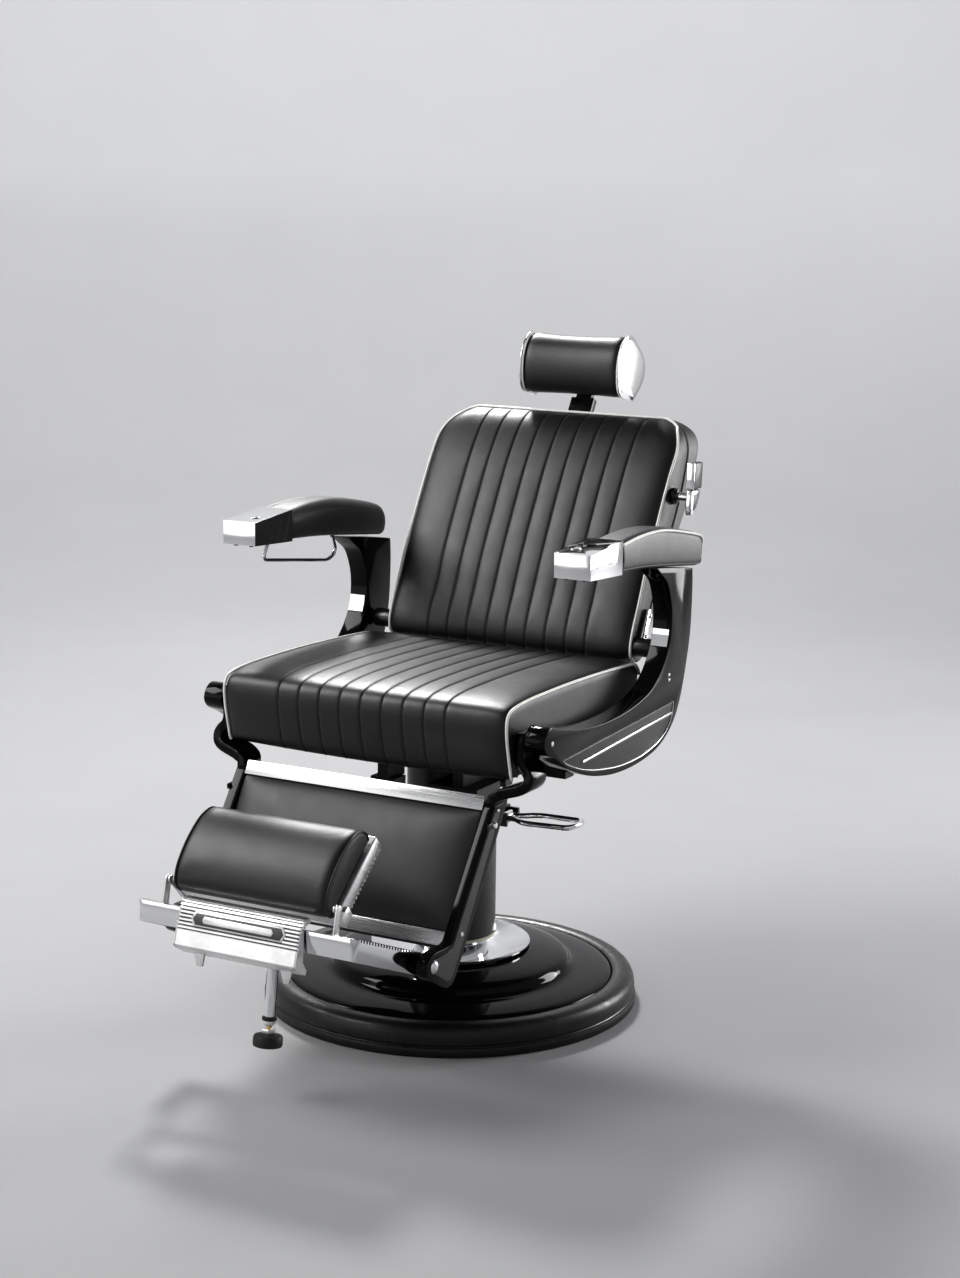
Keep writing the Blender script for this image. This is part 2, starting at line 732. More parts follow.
def build_seat():
    outer = flat_path(SEAT_OUTER)
    inner = flat_path(SEAT_INNER)
    half = SEAT_X - 3.5   # room for the piping beside the leg-rest arms

    def place(u, x, w):
        top = along(outer, u)
        low = along(inner, u)
        ahead = (along(outer, min(u + 0.01, 1)) - along(outer, max(u - 0.01, 0))).normalized()
        normal = Vector((0, ahead.z, -ahead.y))
        if normal.dot(top - low) < 0:
            normal.negate()
        sink = side_fall(x, half, 50, 6) + seam_sink(x)
        p = low.lerp(top - normal * sink * end_share(u), w)
        belly = 5 * (1 - (x / half) ** 2) * max(0.0, 1 - u / 0.16)
        if at_side(x, half):
            bulge = 2.5 * math.sin(math.pi * w) * math.sin(math.pi * min(1, max(0, u)))
            return (math.copysign(half + bulge, x), p.y, p.z)
        return (x, p.y, p.z - belly)

    def held(u, x, w):
        edge = at_side(x, half)
        return w == 0 or (w == 1 and (sewn_at(x) or edge)) or u in (0, 1)

    cushion("seat_upholstery", steps(64), columns(half, SEAMS), steps(9), place, held, CHANNEL_CAP,
            "seat_frame", "seat_cushion", LEATHER_SIDE)
    for side, sx in SIDES:
        line = [lifted_edge(place, u, sx * half, PIPE_OUT) for u in steps(90)]
        piping(f"seat_piping_{side}", line, "seat_frame", 2.5)
        low = [Vector((sx * (half - 0.4), p.y, p.z)) for p in (along(inner, u) for u in steps(60))]
        welt = tube(f"seat_welt_{side}", low, 1.6, LEATHER_SIDE, sides=2)
        declare(welt, "seat_frame", "leather")
    for k, s in enumerate(SEAMS):
        seam_line("seat_seam", k, [place(u, s, 1) for u in steps(80)], "seat_frame")


def lifted_edge(place, u, x, by):
    """Point on the side edge of a cushion, moved out from its face and its side."""
    p = Vector(place(u, x, 1))
    inside = Vector(place(u, x * 0.9, 0.0))
    return p + Vector((math.copysign(by, x), 0, 0)) + (p - inside).normalized() * by


def seam_line(name, k, points, body):
    thread = tube(f"{name}_{k}", points, 0.75, SEAM_THREAD, sides=1)
    return declare(thread, body, "leather")


# ---- back -----------------------------------------------------------------------------------------
BACK_FRONT = [(214, 590), (200, 591.5), (188, 601), (184.5, 616), (186, 634), (197, 662), (217, 702),
              (242, 756), (286, 837), (326, 906),
              (352, 944), (376, 973), (396, 990), (414, 999), (430, 1003)]
BACK_MID = [(240, 592), (247, 606), (252, 632), (268, 668), (291, 708), (318, 754), (356, 812), (390, 870),
            (410, 920), (420, 955), (427, 984), (430, 1002)]
BACK_REAR = [(250, 594), (268, 602), (284, 628), (304, 672), (338, 724), (384, 774), (424, 824), (450, 872),
             (470, 926), (478, 958), (474, 982), (440, 1005)]
BACK_CORNER = 62
BACK_TOP = 1003.5
BACK_FLAT = 165      # the channels run straight up to here from the middle


def back_half(z, full=BACK_X):
    """Half width of the back at height z: its top corners are rounded."""
    rise = z - (BACK_TOP - BACK_CORNER)
    if rise <= 0:
        return full
    return full - BACK_CORNER + math.sqrt(max(0.0, BACK_CORNER ** 2 - min(rise, BACK_CORNER) ** 2))


def sunk_point(path, u, sink):
    """The point at share u of a side profile, pushed in along the profile's normal."""
    p = along(path, u)
    ahead = (along(path, min(u + 0.01, 1)) - along(path, max(u - 0.01, 0))).normalized()
    return p + Vector((0, ahead.z, -ahead.y)) * sink


def build_back():
    front = flat_path(BACK_FRONT)
    mid = flat_path(BACK_MID)
    rear = flat_path(BACK_REAR)
    full = BACK_X - 3
    xs = columns(full, SEAMS)

    def front_place(u, x, w):
        sink = side_fall(x, full, 46, 9) + seam_sink(x)
        face = sunk_point(front, u, sink * end_share(u) + 0.5)
        p = along(mid, u).lerp(face, w)
        half = back_half(p.z, full)
        narrow = x
        if abs(x) >= BACK_FLAT:
            share = (abs(x) - BACK_FLAT) / (full - BACK_FLAT)
            narrow = math.copysign(BACK_FLAT + (half - BACK_FLAT) * share, x)
        if at_side(x, full):
            narrow += math.copysign(2.5 * math.sin(math.pi * w), x)
        return (narrow, p.y, p.z)

    def front_held(u, x, w):
        return w == 0 or u in (0, 1) or (w == 1 and (sewn_at(x) or at_side(x, full)))

    cushion("back_upholstery", steps(64), xs, steps(7), front_place, front_held, CHANNEL_CAP, "backrest",
            "back_cushion", LEATHER_SIDE)

    def rear_place(u, x, w):
        sink = side_fall(x, BACK_X, 70, 26)
        face = sunk_point(rear, u, -sink * math.sin(math.pi * min(1, u * 1.02)) - 1)
        p = along(mid, u).lerp(face, w)
        p.y += (1 - w) * 1.2
        half = back_half(p.z, full)
        return (x * half / full, p.y, p.z)

    def rear_held(u, x, w):
        return w == 0 or u in (0, 1) or at_side(x, full)

    cushion("back_shell_cover", steps(44), columns(full, (), 16.0), steps(7), rear_place, rear_held,
            PLAIN_CAP,
            "backrest", "back_shell", LEATHER_SIDE)
    rise = [lifted_edge(front_place, u, full, PIPE_OUT) for u in steps(90)]
    top = [Vector(front_place(1, full * (1 - 2 * i / 40), 1)) + Vector((0, 0, 1)) for i in range(1, 40)]
    fall = [Vector((-p.x, p.y, p.z)) for p in rise[::-1]]
    piping("back_piping", rise + top + fall, "backrest", 2.5)
    for k, s in enumerate(SEAMS):
        seam_line("back_seam", k, [front_place(u, s, 1) for u in steps(80)], "backrest")


# ---- arms -----------------------------------------------------------------------------------------
FRAME_OUTLINE = [
    (-284, 552), (-281, 565), (-272, 575), (-258, 579), (-240, 573), (-162, 557), (-77, 549), (17, 552),
    (91, 565),
    (130, 583), (157, 606), (177, 635), (184, 655), (187, 679), (186, 702), (178, 728), (164, 752),
    (141, 768),
    (119, 783), (160, 778), (234, 768), (269, 762), (271, 732), (270, 690), (265, 640), (250, 585),
    (236, 546), (220, 516),
    (200, 494), (173, 476), (140, 463), (97, 455), (37, 451), (-24, 453), (-76, 460), (-129, 472),
    (-177, 489),
    (-211, 505), (-245, 524), (-274, 538)]
INLAY_OUTLINE = [(-216, 515), (-203, 506), (-157, 489), (-110, 477), (-64, 469), (-16, 463), (32, 461),
                 (75, 462),
                 (108, 466), (142, 473), (168, 483), (188, 497), (200, 514), (203, 535)]


def soft_outline(points, corners, step):
    """Smooth closed outline that keeps the named corners sharp."""
    marks = [i for i, p in enumerate(points) if p in corners]
    out = []
    n = len(points)
    for a, b in zip(marks, marks[1:] + [marks[0] + n]):
        stretch = [(*points[i % n], 0) for i in range(a, b + 1)]
        out += [(p.x, p.y) for p in (spline(stretch, step) if len(stretch) > 2
                                     else [Vector(stretch[0]), Vector(stretch[1])])][:-1]
    return out


def shrink(points, by):
    """An outline moved inwards along its own normals."""
    n = len(points)
    area = sum(points[i][0] * points[(i + 1) % n][1] - points[(i + 1) % n][0] * points[i][1]
               for i in range(n))
    sign = 1 if area > 0 else -1
    out = []
    for i in range(n):
        a, b = Vector(points[i - 1]), Vector(points[(i + 1) % n])
        t = (b - a).normalized()
        out.append((points[i][0] - t.y * by * sign, points[i][1] + t.x * by * sign))
    return out


def build_arm(side, sx):
    corners = {(119, 783), (269, 762)}
    outline = soft_outline(FRAME_OUTLINE, corners, 7)
    inlay = soft_outline(INLAY_OUTLINE, {(-216, 515), (203, 535)}, 6)
    x0, x1 = sorted((sx * (FRAME_IN + 0.2), sx * (FRAME_OUT - 0.2)))
    frame_obj = prism_x(f"arm_frame_skin_{side}", outline, x0, x1, ENAMEL)
    pocket = prism_x("pocket", inlay, sx * (FRAME_OUT - 2.6), sx * (FRAME_OUT + 4), ENAMEL)
    carve(frame_obj, pocket)
    finish_edges(frame_obj, 2.2, 3, 40)
    declare(frame_obj, "seat_frame", "enamel_cast", f"arm_frame_{side}")
    plate = prism_x(f"inlay_{side}", shrink(inlay, 1.6), sx * (FRAME_OUT - 2.5), sx * (FRAME_OUT - 1.2),
                    PEBBLED, 0.4, 2)
    declare(plate, "seat_frame", "inlay", f"arm_inlay_{side}")
    lip = tube(f"inlay_lip_{side}", [(sx * (FRAME_OUT - 0.4), y, z) for y, z in shrink(inlay, 0.4)], 0.9,
               CHROME,
               closed=True, sides=2)
    declare(lip, "seat_frame", "chrome")
    bar = prism_x(f"name_bar_{side}", [(-146, 496.4), (196, 513.4), (199, 515.6), (196, 517.2),
                                       (-146, 500.2), (-149, 498)],
                  sx * (FRAME_OUT - 1.2), sx * (FRAME_OUT + 0.9), CHROME, 0.5, 2)
    declare(bar, "seat_frame", "chrome", f"trim_bar_{side}")
    for k, (y, z) in enumerate(((180, 586), (181, 577))):
        screw = stud(f"frame_screw_{side}_{k}", (y, z), sx, FRAME_OUT,
                     [(0, 2), (2.2, 1.6), (3.4, 0.2), (3.4, -1)], CHROME, 20)
        declare(screw, "seat_frame", "chrome")
    bolt = pin_x(f"hub_bolt_{side}", LEG_PIVOT, [
        (0, sx * (FRAME_OUT + 2.4)), (3, sx * (FRAME_OUT + 2.2)), (4.2, sx * (FRAME_OUT + 1)),
        (4.4, sx * (FRAME_OUT - 1)),
        (4.4, sx * (FRAME_IN - 1)), (0, sx * (FRAME_IN - 1))], CHROME, 32)
    declare(bolt, "seat_frame", "chrome", f"leg_pivot_bolt_{side}")


PAD_TOP = [(-68, 853), (-20, 858), (31, 860), (80, 858.5), (130, 852), (180, 843), (220, 835), (243, 828),
           (251, 819),
           (253, 808)]
PAD_LOW = [(-68, 802.5), (-20, 800), (34, 796), (80, 791), (130, 785.5), (180, 779.5), (220, 775),
           (240, 772.5),
           (249, 777), (252.4, 788)]

PAD_ROUND_IN, PAD_ROUND_OUT = 22, 7   # rounding of the pad's inner and outer top edge


def build_pad(side, sx):
    top = flat_path(PAD_TOP)
    low = flat_path(PAD_LOW)
    middle = (PAD_IN + PAD_OUT) / 2
    half = (PAD_OUT - PAD_IN) / 2 - 1.5

    def place(u, x, w):
        # the outer top edge is crisp with piping; the inner one is round
        across = x / half
        a, b = along(top, u), along(low, u)
        round_in = PAD_ROUND_IN if across < 0 else PAD_ROUND_OUT
        t = max(0.0, (abs(across) - (1 - round_in / half)) * half / round_in)
        fall = round_in * 0.72 * (1 - math.sqrt(max(0.0, 1 - min(t, 1) ** 2)))
        under = 5 * (1 - math.sqrt(max(0.0, 1 - max(0.0, (abs(across) - 0.8) / 0.2) ** 2)))
        lo = b + Vector((0, 0, under))
        hi = a - Vector((0, 0, fall))
        p = lo.lerp(hi, w)
        close = 1 - max(0.0, (u - 0.9) / 0.1) ** 3 * (0.2 if across > 0 else 0.4)
        bulge = 1.8 * math.sin(math.pi * w) if abs(across) > 0.99 else 0
        return (sx * (middle + x * close + math.copysign(bulge, across)), p.y, p.z)

    def held(u, x, w):
        return w == 0 or u == 0 or (w == 1 and x > half - 0.1)

    cushion(f"arm_pad_leather_{side}", steps(40), even(half, 12), steps(7), place, held, 3.5, "seat_frame",
            f"arm_pad_{side}", LEATHER_ARM, 3.0)
    line = [Vector(place(u, half, 1)) + Vector((sx * 1.0, 0, 1.0)) for u in steps(60)]
    piping(f"arm_piping_{side}", line, "seat_frame", 2.4)
    low_line = [Vector(place(u, half, 0)) for u in steps(60)]
    welt = tube(f"arm_welt_{side}", low_line, 1.2, LEATHER, sides=2)
    declare(welt, "seat_frame", "leather")


def build_cap(side, sx):
    x0, x1 = PAD_IN + 1, PAD_OUT - 1
    verts = []
    for x in (x0, x1):
        for y, low, high in ((-184.5, 806, 846.5), (-68.6, 800, 856.6)):
            verts += [(sx * x, y, low), (sx * x, y, high)]
    cap = place_mesh(f"arm_cap_shell_{side}", verts, BOX_FACES, CHROME)
    dimple = lathe("dimple", [(0, 843), (5, 843.6), (8.5, 846), (10, 851), (10, 860), (0, 860)], CHROME, 40,
                   frame_matrix=Matrix.Translation((sx * (x0 + 22), -150, 2.6)))
    carve(cap, dimple)
    finish_edges(cap, 6, 6, 50)
    declare(cap, "seat_frame", "chrome", f"arm_cap_{side}")
    for k, (dx, y) in enumerate(((16, -172), (48, -172))):
        foot = lathe(f"cap_screw_{side}_{k}", [(0, 0), (3.4, 0.6), (3.8, 2), (3.8, 4)], BLACK_SATIN, 16,
                     frame_matrix=Matrix.Translation((sx * (x0 + dx), y, 801.8)))
        declare(foot, "seat_frame", "chrome")


def build_rail():
    x = -322
    path = eased([(x, -98, 797), (x, -115, 770), (x, 98, 741), (x, 126, 754), (x, 112, 784)], 16)
    rail = tube("towel_wire", path, 3.6, CHROME, sides=4)
    declare(rail, "seat_frame", "chrome", "towel_rail")


# ---- back fittings ----------------------------------------------------------------------------------
def build_back_fittings():
    for side, sx in SIDES:
        boss = pin_x("boss", BACK_PIVOT, [
            (0, sx * (FRAME_IN - 2)), (9, sx * (FRAME_IN - 2)), (10, sx * (FRAME_IN - 4)),
            (15.4, sx * (FRAME_IN - 5)),
            (17, sx * (FRAME_IN - 8)), (17, sx * (BACK_X + 10)), (17, sx * (BACK_X + 1)),
            (0, sx * (BACK_X + 1))], BLACK_SATIN, 40)
        strap = prism_x("strap", [(206, 612), (236, 606), (252, 628), (258, 652), (257, 684), (246, 684),
                                  (228, 650)],
                        sx * (BACK_X + 1), sx * (BACK_X + 8.6), CHROME, 1.4, 2)
        lug = join(f"back_lug_{side}", [boss, strap])
        shade(lug, 35)
        declare(lug, "backrest", "chrome", f"back_hinge_{side}")
        for k, (y, z) in enumerate(((236, 636), (250, 672))):
            screw = stud(f"lug_screw_{side}_{k}", (y, z), sx, BACK_X,
                         [(0, 12), (3.4, 11.4), (4.8, 9.6), (4.8, 8)])
            declare(screw, "backrest", "chrome")
    y, z = LEVER_PIVOT
    hub = pin_x("handle_hub", LEVER_PIVOT, [
        (0, 262), (8, 262), (9, 260.5), (12, 259.5), (13, 256), (15, 254.5), (15, 250), (0, 249.6)],
        BLACK_SATIN, 40)
    declare(hub, "backrest", "chrome", "lever_hub")
    shaft = pin_x("handle_shaft", LEVER_PIVOT, [(0, 285), (7, 285), (7, 262.6), (0, 262.6)], CHROME, 32)
    blade = prism_x("handle_blade", [(338, 888), (377, 888), (371, 872), (361, 856), (347, 842.6),
                                     (341, 841.6),
                                     (335, 845), (333.4, 860), (335, 876)], 281, 292.6, CHROME, 3.4, 4)
    inset = prism_x("handle_inset", [(343, 881), (366, 881), (352, 856), (343, 852)], 290, 293.4, GRIP,
                    0.6, 2)
    edge = prism_x("handle_edge", [(339.4, 889.4), (343.2, 889.4), (345.2, 936.4), (341.4, 936.4)], 279.6,
                   294.4, CHROME,
                   1.2, 2)
    lever = join("recline_handle_chrome", [shaft, blade, inset, edge])
    shade(lever, 40)
    declare(lever, "recline_handle", "chrome", "recline_lever")
    grip = prism_x("recline_handle_grip", [(343.8, 889.4), (376, 889.4), (379.6, 933), (377, 936.4),
                                           (346, 936.4)],
                   280, 294, GRIP, 2, 3)
    declare(grip, "recline_handle", "grip", "lever_grip")


def on_stem(s, n):
    """A side point s up the headrest bar from the tilt pivot and n behind it."""
    ly, lz = math.sin(BACK_TILT), math.cos(BACK_TILT)
    return (HEAD_PIVOT[0] + ly * s + lz * n, HEAD_PIVOT[1] + lz * s - ly * n)


def build_headrest():
    wide = prism_x("bar", [on_stem(-209, -6.8), on_stem(-209, 6.8), on_stem(-27, 6.8),
                           on_stem(-27, -6.8)], -23.8, 23.8,
                   BLACK_SATIN, 1.2, 2)
    narrow = prism_x("neck", [on_stem(-28, -5), on_stem(-28, 5), on_stem(0, 6.8),
                              *arc(HEAD_PIVOT, 6.8, -31.4, 148.6, 8)[1:-1], on_stem(0, -6.8)], -15.6,
                              15.6, BLACK_SATIN,
                     1.2, 2)
    stem = join("headrest_bar_skin", [wide, narrow])
    shade(stem, 35)
    declare(stem, "headrest_bar", "frame_paint", "headrest_stem")
    front = [(454, 1032), (437, 1035), (426, 1045), (420, 1063), (419.5, 1086), (424, 1109), (435, 1129),
             (450, 1141),
             (466, 1145), (484, 1138), (510, 1114)]
    rear = [(460, 1040), (462, 1044), (465, 1048), (468, 1052), (472, 1058), (477, 1063), (483, 1068),
            (490, 1073),
            (497, 1079), (503, 1084), (507, 1092)]
    outer, inner = flat_path(front, 3), flat_path(rear, 3)
    half = HEAD_X - 2

    def place(u, x, w):
        t = abs(x) / half
        waist = 3.0 * (1 - t * t)
        surf = sunk_point(outer, u, waist + side_fall(x, half, 14, 4))
        p = along(inner, u).lerp(surf, w)
        return (x, p.y, p.z)

    def held(u, x, w):
        return w == 0 or u in (0, 1) or at_side(x, half)

    cushion("headrest_leather", steps(34), even(half, 24), steps(5), place, held, PLAIN_CAP, "headrest",
            "headrest_pad")
    for side, sx in SIDES:
        line = []
        for u in steps(50):
            p = sunk_point(outer, u, 1.8)
            line.append((sx * (HEAD_X - 1.8), p.y, p.z))
        piping(f"headrest_piping_{side}", line, "headrest", 2.0)
        outline = soft_outline([(480, 1023), (463, 1028), (434, 1036), (424, 1045), (418, 1062),
                                (417.5, 1087), (422.5, 1111),
                                (434, 1131), (449, 1143.6), (466, 1147.4), (485, 1140), (520, 1110),
                                (531, 1094), (530, 1070),
                                (514, 1049)], {(480, 1023), (531, 1094)}, 4)
        plate = prism_x(f"headrest_end_{side}", outline, sx * (HEAD_X + 0.6), sx * (HEAD_X + 3), CHROME,
                        0.9, 2)
        declare(plate, "headrest", "chrome", f"headrest_plate_{side}")
        inset = shrink(outline, 9)
        rim = prism_x(f"headrest_end_panel_{side}", inset, sx * (HEAD_X + 2.6), sx * (HEAD_X + 4),
                      BRUSHED, 0.6, 2)
        declare(rim, "headrest", "chrome")
        screw = stud(f"headrest_end_screw_{side}", (479, 1030), sx, HEAD_X,
                     [(0, 4.6), (2, 4.4), (2.8, 3), (2.8, 2)], BLACK_SATIN, 16)
        declare(screw, "headrest", "chrome")


# ---- leg rest ---------------------------------------------------------------------------------------
LEG_TOP = (-292, 460)
LEG_DIR = (-0.489, -0.872)


def on_leg(s, n):
    """A side point s down the calf panel and n out from it."""
    return (LEG_TOP[0] + LEG_DIR[0] * s + LEG_DIR[1] * n, LEG_TOP[1] + LEG_DIR[1] * s - LEG_DIR[0] * n)


def build_leg_arm(side, sx):
    straight = soft_outline([
        (-258, 446), (-300, 446), (-424, 268), (-434, 257), (-446, 253.5), (-484, 254), (-503, 250),
        (-512, 240),
        (-512, 226), (-502, 214), (-488, 207), (-456, 189), (-445, 186), (-432, 189), (-421, 199),
        (-384, 252)],
        {(-258, 446), (-300, 446)}, 7)
    low = prism_x("low", straight, *sorted((sx * LEG_IN, sx * LEG_OUT)), ENAMEL, 2.4, 3)
    spine = spline([(240.5, 0, 440), (240.5, 0, 452), (246, 0, 461), (262, 0, 468), (282, 0, 474),
                    (296, 0, 481),
                    (301, 0, 492), (296, 0, 504), (286, 0, 514), (282, 0, 526), (282, 0, 540),
                    (282, 0, 566)], 5)
    front = spline([(0, -300, 440), (0, -302, 452), (0, -292, 476), (0, -284, 500), (0, -283, 530),
                    (0, -282, 566)], 3)
    rear = spline([(0, -258, 440), (0, -252, 452), (0, -240, 474), (0, -234, 500), (0, -233, 530),
                   (0, -233, 566)], 3)

    def edge_y(path, z):
        return min(path, key=lambda p: abs(p.z - z)).y

    verts = []
    for i, p in enumerate(spine):
        a, b = spine[max(i - 1, 0)], spine[min(i + 1, len(spine) - 1)]
        t = (b - a).normalized()
        n = Vector((t.z, 0, -t.x)) * 8.6
        rise = max(0.0, (p.z - 552) / 25)
        pull = 25 * (1 - math.sqrt(max(0.0, 1 - min(rise, 1) ** 2)))
        for q, path, s in ((p + n, front, pull), (p - n, front, pull), (p - n, rear, -pull),
                           (p + n, rear, -pull)):
            verts.append((sx * q.x, edge_y(path, p.z) + s, q.z))
    neck = finish_edges(place_mesh("neck", verts, loft_faces(len(spine)), ENAMEL), 2.6, 3, 50)
    arm = join(f"leg_arm_skin_{side}", [low, neck])
    shade(arm, 40)
    declare(arm, "leg_rest", "enamel_cast", f"leg_arm_{side}")
    inset = prism_x(f"leg_arm_inlay_{side}", [(-279, 440), (-301, 436), (-431, 249), (-447, 244),
                                              (-484, 243), (-500, 236),
                                             (-498, 224), (-484, 219), (-452, 199), (-438, 197),
                                             (-428, 205), (-396, 252)],
                    sx * (LEG_OUT - 0.6), sx * (LEG_OUT + 0.5), PEBBLED_FRAME, 0.4, 1)
    declare(inset, "leg_rest", "enamel_cast")
    for k, (y, z, r) in enumerate(((-291, 439, 3.6), (-405, 263, 4.4))):
        bolt = stud(f"leg_bolt_{side}_{k}", (y, z), sx, LEG_OUT, [(0, 3), (r * 0.7, 2.6), (r, 1.2), (r, -1)])
        declare(bolt, "leg_rest", "chrome")
    stop = join(f"leg_stop_{side}", [
        stud("stop_pin", (-306, 418), sx, LEG_OUT, [(0, 7), (4.6, 6.4), (5.4, 5), (5.4, -1)]),
        side_box("stop_slot", sx, (LEG_OUT, -326, 413), (LEG_OUT + 3, -298, 423), BLACK_SATIN, 1.4)])
    shade(stop, 35)
    declare(stop, "leg_rest", "chrome")
    toe = stud(f"toe_bolt_head_{side}", (-490, 233), sx, LEG_OUT,
               [(0, 5.8), (6, 5.2), (9.6, 3), (10.8, 1), (10.8, 0.2)], CHROME, 32)
    declare(toe, "leg_rest", "chrome", f"toe_bolt_{side}")


def strip(name, s0, s1, n0, n1, half, material, slot, node, edge=0.8):
    obj = prism_x(name, [on_leg(s0, n0), on_leg(s0, n1), on_leg(s1, n1), on_leg(s1, n0)], -half, half,
                  material, edge, 2)
    return declare(obj, "leg_rest", slot, node)


def build_leg_panel():
    half = LEG_IN - 1
    strip("calf_top_strip", 0.4, 25, -1.8, 3, half, BRUSHED, "chrome", "leg_top_strip")
    strip("calf_low_strip", 228, 251.6, -1.8, 3, half, BRUSHED, "alloy", "leg_bottom_strip")
    strip("calf_backing", 0.4, 251.6, -29.6, -2.6, half, DARK_PLASTIC, "backing", "leg_board", 2.5)
    s0, s1 = 26, 227

    def place(u, x, w):
        s = s0 + (s1 - s0) * u
        rise = 13.5 * (1 - abs(2 * u - 1) ** 5) ** 0.7 * (1 - (abs(x) / half) ** 9) ** 0.7
        y, z = on_leg(s, -1.8 + (1.5 + rise) * w)
        return (x, y, z)

    def held(u, x, w):
        return w == 0 or u in (0, 1) or abs(x) > half - 1.2

    cushion("calf_pad", steps(26), even(half - 1, 44), steps(2), place, held, PLAIN_CAP, "leg_rest",
            "leg_panel",
            pressure=3.0, material=LEATHER_SIDE)


# ---- foot frame and step --------------------------------------------------------------------------------
def sweep_bar(name, path, height, thick, material):
    """Flat bar on edge along a path of points."""
    pts = [Vector(p) for p in path]
    verts = []
    for i, p in enumerate(pts):
        t = (pts[min(i + 1, len(pts) - 1)] - pts[max(i - 1, 0)]).normalized()
        across = Vector((t.x, t.y, 0)).normalized().cross(Vector((0, 0, 1)))
        up = across.cross(t)
        for a, b in ((1, 1), (1, -1), (-1, -1), (-1, 1)):
            verts.append(p + across * a * thick / 2 + up * b * height / 2)
    return finish_edges(place_mesh(name, verts, loft_faces(len(pts)), material), 0.9, 2, 50)


def build_foot_frame():
    corner, aft = (199, -642, 294), (225.5, -478, 228)
    path = eased([aft, corner, (-corner[0], *corner[1:]), (-aft[0], *aft[1:])], 7)
    parts = [sweep_bar("bar", path, 35, 5.4, CHROME),
             box("brace", (-213, -565.6, 248.4), (213, -556.4, 271.6), CHROME, 1.2)]
    for sx in (1, -1):
        parts.append(prism_x("ear", [(-644.5, 285), (-628, 285), (-614.6, 344),
                                     *arc(FOOT_PIVOT, 7, 0, 180, 8)],
                             sx * 157.2, sx * 160.4, ALLOY, 0.9, 2))
        parts.append(prism_x("lug", [(-571.6, 262), (-552.4, 262), (-552.4, 222),
                                     *arc((-562, 222), 9.6, 0, -180, 8)],
                             sx * 12.2, sx * 16.8, CHROME, 0.8, 2))
    bar = join("foot_bar_chrome", parts)
    shade(bar, 35)
    declare(bar, "leg_rest", "chrome", "foot_bar")
    for side, sx in SIDES:
        teeth = []
        for k in range(22):
            t = 0.08 + 0.84 * k / 21
            c = Vector(corner).lerp(Vector(aft), t)
            teeth.append(box("tooth", (sx * c.x - 3, c.y - 1.6, c.z + 14.5),
                             (sx * c.x + 3, c.y + 1.6, c.z + 19.5),
                             BLACK_SATIN, 0.4))
        row = join(f"foot_bar_teeth_{side}", teeth)
        declare(row, "leg_rest", "chrome")


NOSE = [(-632, 328.5), (-642, 327.5), (-650.5, 322), (-657, 311), (-665, 286), (-672, 265), (-673, 259),
        (-667, 253.6),
        (-645, 240)]

NOSE_CORE = Vector((0, -622, 290))          # grooves and ribs sink towards this line
RIB_START, RIB_END, RIB_PITCH = 0.07, 0.52, 6
TAB = ((70, 247), (93, 247), (86, 222.4), (76, 222.4))


def build_nose():
    face = flat_path(NOSE, 1.0)
    outer = []
    for i in range(len(face)):
        u = i / (len(face) - 1)
        p = along(face, u)
        if RIB_START < u < RIB_END and i % RIB_PITCH in (0, 1):
            p = p + (NOSE_CORE - p).normalized() * 2.2
        outer.append((p.y, p.z))
    inner = [(-641, 246), (-651, 262), (-649.6, 280), (-647.4, 311), (-638, 319), (-629, 320)]
    nose = prism_x("nose_casting", outer + inner, -112.6, 112.6, ALLOY)
    extras = []
    for i in range(0, len(face) - 1, RIB_PITCH):
        if not RIB_START < i / (len(face) - 1) < RIB_END:
            continue
        deep = [p + (NOSE_CORE - p).normalized() * 3 for p in (face[i + 1], face[i])]
        sunk = [p + (NOSE_CORE - p).normalized() * 1.2 for p in (face[i], face[i + 1], *deep)]
        extras.append(prism_x("groove", [(p.y, p.z) for p in sunk], -109.6, 109.6, ALLOY_DARK))
    for sx in (1, -1):
        corners = [(sx * x, y, z) for y in (-650, -645.4) for x, z in TAB]
        extras.append(finish_edges(place_mesh("tab", corners, loft_faces(2), ALLOY), 1, 2))
        extras.append(prism_x("cheek", outer + inner, sx * 110, sx * 113, ALLOY))
    whole = join("nose", [nose, *extras])
    shade(whole, 30)
    declare(whole, "leg_rest", "alloy", "foot_nose")
    # blank name plate: a long six-sided boss with a raised rim
    a, b = along(face, 0.24), along(face, 0.44)
    down = (b - a).normalized()
    out = Vector((0, down.z, -down.y))
    if out.y > 0:
        out.negate()
    middle = (a + b) / 2

    def badge(name, half, height, n0, n1, material):
        ring = [(-half, 0), (-half + height * 0.6, height), (half - height * 0.6, height), (half, 0),
                (half - height * 0.6, -height), (-half + height * 0.6, -height)]
        verts = [middle + Vector((x, 0, 0)) - down * h + out * n for n in (n0, n1) for x, h in ring]
        faces = [tuple(range(6)), tuple(range(11, 5, -1))]
        faces += [(i, (i + 1) % 6, 6 + (i + 1) % 6, 6 + i) for i in range(6)]
        return finish_edges(place_mesh(name, verts, faces, material), 0.5, 2)

    plate = join("nose_badge", [badge("rim", 88, 11.5, -3, 1.4, ALLOY),
                                badge("field", 84, 9.3, 0.4, 1.8, ALLOY_DARK),
                                badge("centre", 66, 5.6, 1, 2.8, ALLOY)])
    shade(plate, 30)
    declare(plate, "leg_rest", "alloy")


def on_foot(s, n):
    """A side point s up the foot step and n out from its tray."""
    return (-600 + 0.752 * s - 0.659 * n, 303 + 0.659 * s + 0.752 * n)


